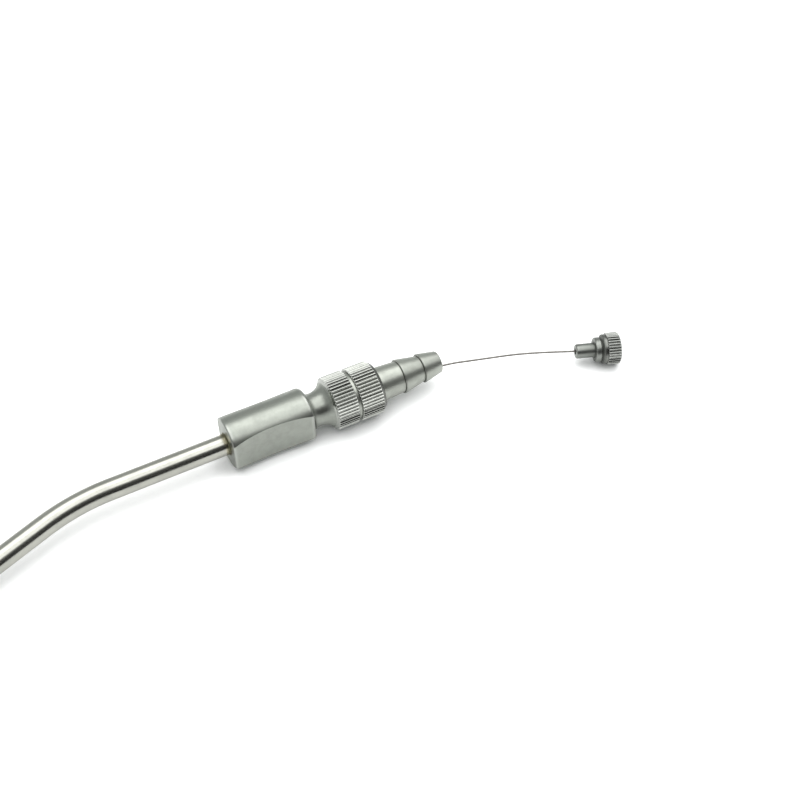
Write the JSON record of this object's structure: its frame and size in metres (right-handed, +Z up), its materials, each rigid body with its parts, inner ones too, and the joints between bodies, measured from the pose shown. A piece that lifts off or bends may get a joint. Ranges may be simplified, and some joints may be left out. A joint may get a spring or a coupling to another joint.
{
  "type": "frazier suction tube",
  "caption": "Bent steel suction tube with a thumb-rest handle, finger vent, stepped hose barb and a wire stylet drawn part of the way out.",
  "frame": {"origin": "centre of the hose barb's mouth, on the handle's axis", "axes": "+X runs out of the mouth along the handle's axis, the way the hose leaves; +Z is up from the table that the instrument lies on, 5.2 mm below the axis; the tube bends towards -Y"},
  "size_m": [0.2047, 0.041, 0.0104],
  "materials": {
    "polished_steel": "polished along its length",
    "satin_steel": "fine satin",
    "knurled_steel": "turned, with bright straight knurling",
    "wire_steel": "drawn spring wire",
    "knob_steel": "turned, a little darker",
    "silver_braze": "silver braze with a straw heat tint"
  },
  "bodies": {
    "root": {"suction_tube": "polished_steel", "braze_ring": "silver_braze", "handle_grip": "satin_steel", "hose_nozzle": "knurled_steel", "stylet_wire": "wire_steel", "stylet_knob": "knob_steel"}
  },
  "joints": []
}
